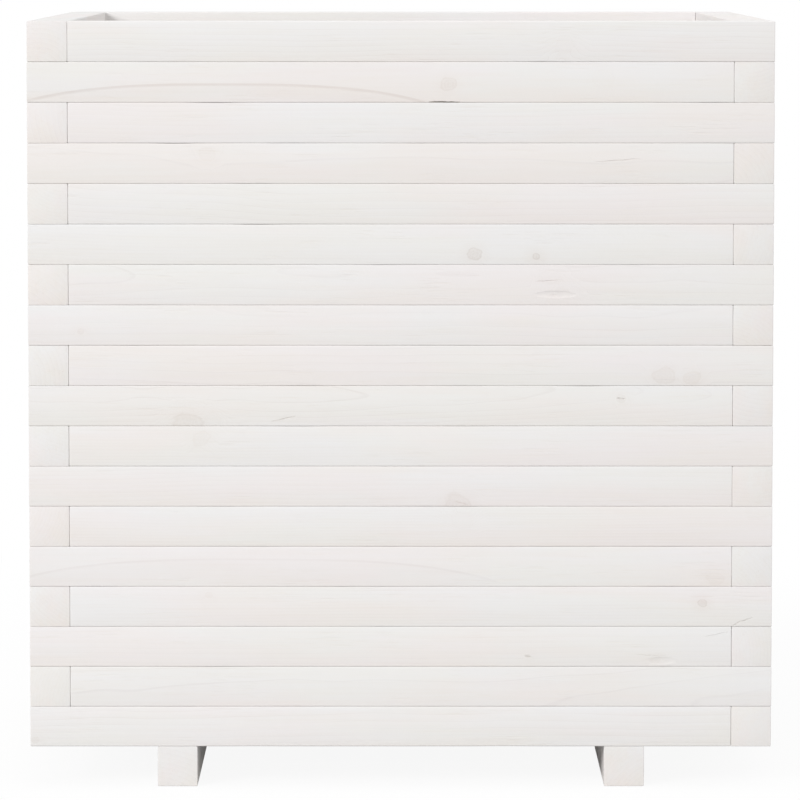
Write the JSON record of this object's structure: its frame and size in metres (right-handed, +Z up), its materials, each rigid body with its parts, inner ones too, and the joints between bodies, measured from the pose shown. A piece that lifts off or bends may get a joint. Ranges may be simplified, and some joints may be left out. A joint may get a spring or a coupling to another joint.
{
  "type": "versailles planter",
  "caption": "Square floor planter of whitewashed pine slats stacked like a log cabin, their ends alternating at the corners, on two front-to-back runners.",
  "frame": {"origin": "on the ground under the centre of the box", "axes": "+Z up, +X to the right and +Y to the back as seen from the front face of the picture"},
  "size_m": [0.7, 0.7, 0.722],
  "materials": {
    "slat_pine": "planed pine under a thin white wash, matt, grain and knots showing through",
    "runner_pine": "planed pine under a thin white wash, matt",
    "floor_pine": "planed pine boards under a thinner wash, matt",
    "zinced_steel": "bright zinc plating"
  },
  "bodies": {
    "root": {"front_slat_01": "slat_pine", "front_slats_02_03": "slat_pine", "front_slats_04_05": "slat_pine", "front_slats_06_07": "slat_pine", "front_slats_08_09": "slat_pine", "front_slats_10_11": "slat_pine", "front_slats_12_13": "slat_pine", "front_slats_14_15": "slat_pine", "front_slats_16_17": "slat_pine", "front_slat_18": "slat_pine", "right_slat_01": "slat_pine", "right_slats_02_03": "slat_pine", "right_slats_04_05": "slat_pine", "right_slats_06_07": "slat_pine", "right_slats_08_09": "slat_pine", "right_slats_10_11": "slat_pine", "right_slats_12_13": "slat_pine", "right_slats_14_15": "slat_pine", "right_slats_16_17": "slat_pine", "right_slat_18": "slat_pine", "back_slat_01": "slat_pine", "back_slats_02_03": "slat_pine", "back_slats_04_05": "slat_pine", "back_slats_06_07": "slat_pine", "back_slats_08_09": "slat_pine", "back_slats_10_11": "slat_pine", "back_slats_12_13": "slat_pine", "back_slats_14_15": "slat_pine", "back_slats_16_17": "slat_pine", "back_slat_18": "slat_pine", "left_slat_01": "slat_pine", "left_slats_02_03": "slat_pine", "left_slats_04_05": "slat_pine", "left_slats_06_07": "slat_pine", "left_slats_08_09": "slat_pine", "left_slats_10_11": "slat_pine", "left_slats_12_13": "slat_pine", "left_slats_14_15": "slat_pine", "left_slats_16_17": "slat_pine", "left_slat_18": "slat_pine", "left_runner": "runner_pine", "right_runner": "runner_pine", "floor_board_1": "floor_pine", "floor_board_2": "floor_pine", "floor_board_3": "floor_pine", "floor_board_4": "floor_pine", "floor_board_5": "floor_pine", "floor_board_6": "floor_pine", "front_left_rod": "zinced_steel", "front_left_rod_insert": "zinced_steel", "front_left_rod_nut": "zinced_steel", "front_right_rod": "zinced_steel", "front_right_rod_insert": "zinced_steel", "front_right_rod_nut": "zinced_steel", "back_right_rod": "zinced_steel", "back_right_rod_insert": "zinced_steel", "back_right_rod_nut": "zinced_steel", "back_left_rod": "zinced_steel", "back_left_rod_insert": "zinced_steel", "back_left_rod_nut": "zinced_steel"}
  },
  "joints": []
}
